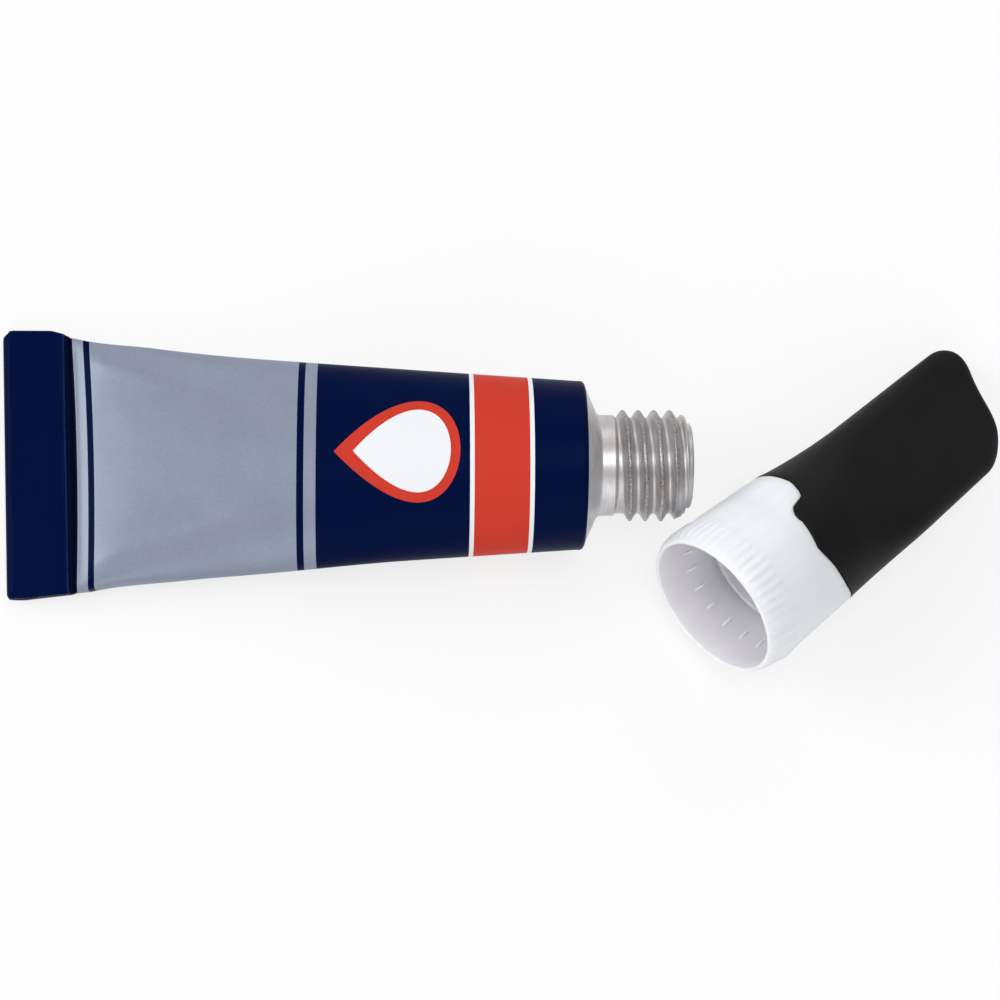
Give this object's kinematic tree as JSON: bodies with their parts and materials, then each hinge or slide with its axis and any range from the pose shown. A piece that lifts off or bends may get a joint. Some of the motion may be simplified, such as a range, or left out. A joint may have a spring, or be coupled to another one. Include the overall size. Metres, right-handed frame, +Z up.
{
  "type": "super glue tube",
  "caption": "Collapsible aluminium glue tube with a folded end and threaded neck, and its white screw-on nozzle in a flattened black cap, lying beside it.",
  "frame": {"origin": "middle of the bounding box of the tube and the cap beside it, at table height", "axes": "+Z up from the table, +X along the tube from its folded end towards its neck, +Y to the far side of the tube"},
  "size_m": [0.0826, 0.0286, 0.0144],
  "materials": {
    "tube": "satin enamel print over aluminium",
    "neck_membrane": "foil",
    "fold_seal": "matte",
    "adhesive": "clear liquid",
    "nozzle": "natural white, moulded",
    "cap": "black, moulded",
    "clog_pin": "drawn wire"
  },
  "bodies": {
    "tube_body": {"tube": "tube", "neck_membrane": "neck_membrane", "fold_seal": "fold_seal", "adhesive": "adhesive"},
    "cap_body": {"cap": "cap", "clog_pin": "clog_pin"},
    "nozzle_body": {"nozzle": "nozzle"}
  },
  "joints": [
    {"name": "line_up", "type": "hinge", "parent": "tube_body", "child": "cap_body", "pos_m": [0.03814, -0.03411, 0.02701], "axis": [0.2887, -0.3901, -0.8743], "range_deg": [0, 43.24]},
    {"name": "nozzle_pull", "type": "slide", "parent": "cap_body", "child": "nozzle_body", "axis": [-0.771, -0.6024, 0.2066], "range_m": [0, 0.036]}
  ]
}
